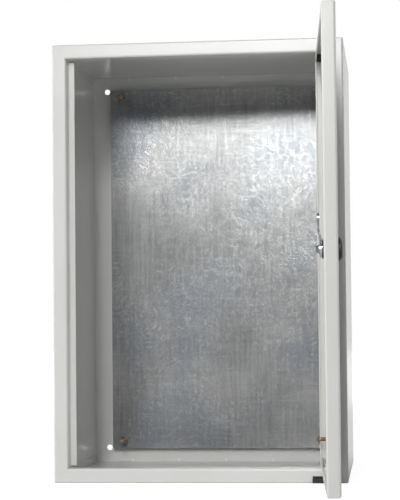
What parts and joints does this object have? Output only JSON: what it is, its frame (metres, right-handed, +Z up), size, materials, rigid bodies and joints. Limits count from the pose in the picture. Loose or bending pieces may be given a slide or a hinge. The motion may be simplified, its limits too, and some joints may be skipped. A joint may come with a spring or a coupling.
{
  "type": "steel wall enclosure",
  "caption": "Wall-mounted sheet steel enclosure with a folded rim, an inset door on pivot pins, a cam lock and a galvanised mounting plate on weld studs.",
  "frame": {"origin": "middle of the four wall fixing holes, on the rear face of the cabinet", "axes": "+Z up, -Y out of the wall towards the door, +X towards the hinge side"},
  "size_m": [0.4053, 0.6472, 0.6],
  "materials": {
    "body_paint": "light grey powder coat, semi-gloss, fine texture",
    "door_paint": "light grey powder coat, semi-gloss, fine texture",
    "galvanised_sheet": "hot-dip galvanised with a fine spangle",
    "zinc_plate": "bright zinc plating",
    "copper_plate": "copper-plated steel weld stud",
    "black_nylon": "matte black nylon",
    "white_nylon": "natural nylon",
    "lock_black": "black coated zinc casting",
    "lock_zinc": "zinc casting",
    "bright_chrome": "bright chrome plating"
  },
  "bodies": {
    "cabinet": {"body_wrapper": "body_paint", "top_panel": "body_paint", "bottom_panel": "body_paint", "mounting_plate": "galvanised_sheet", "plate_studs": "copper_plate", "plate_spacers": "zinc_plate", "plate_washers": "zinc_plate", "plate_nuts": "zinc_plate", "body_earth_stud": "copper_plate", "lower_bearing_block": "black_nylon", "upper_bearing_block": "black_nylon", "thrust_washer": "white_nylon"},
    "door": {"door_panel": "door_paint", "door_earth_stud": "copper_plate", "lower_pin_holder": "zinc_plate", "upper_pin_holder": "black_nylon", "lower_hinge_pin": "zinc_plate", "upper_hinge_pin": "zinc_plate", "pin_clip": "zinc_plate", "lock_housing": "lock_black", "lock_washer": "zinc_plate", "lock_nut": "zinc_plate"},
    "latch": {"lock_spindle": "lock_zinc", "lock_cam": "bright_chrome", "cam_washer": "zinc_plate", "cam_screw": "zinc_plate"}
  },
  "joints": [
    {"name": "door_hinge", "type": "hinge", "parent": "cabinet", "child": "door", "pos_m": [0.1737, -0.295, 0], "axis": [0, 0, 1], "range_deg": [-93.7, 16.3]},
    {"name": "latch_turn", "type": "hinge", "parent": "door", "child": "latch", "pos_m": [0.1995, -0.6164, 0], "axis": [0.9979, 0.0645, 0], "range_deg": [0, 90]}
  ]
}
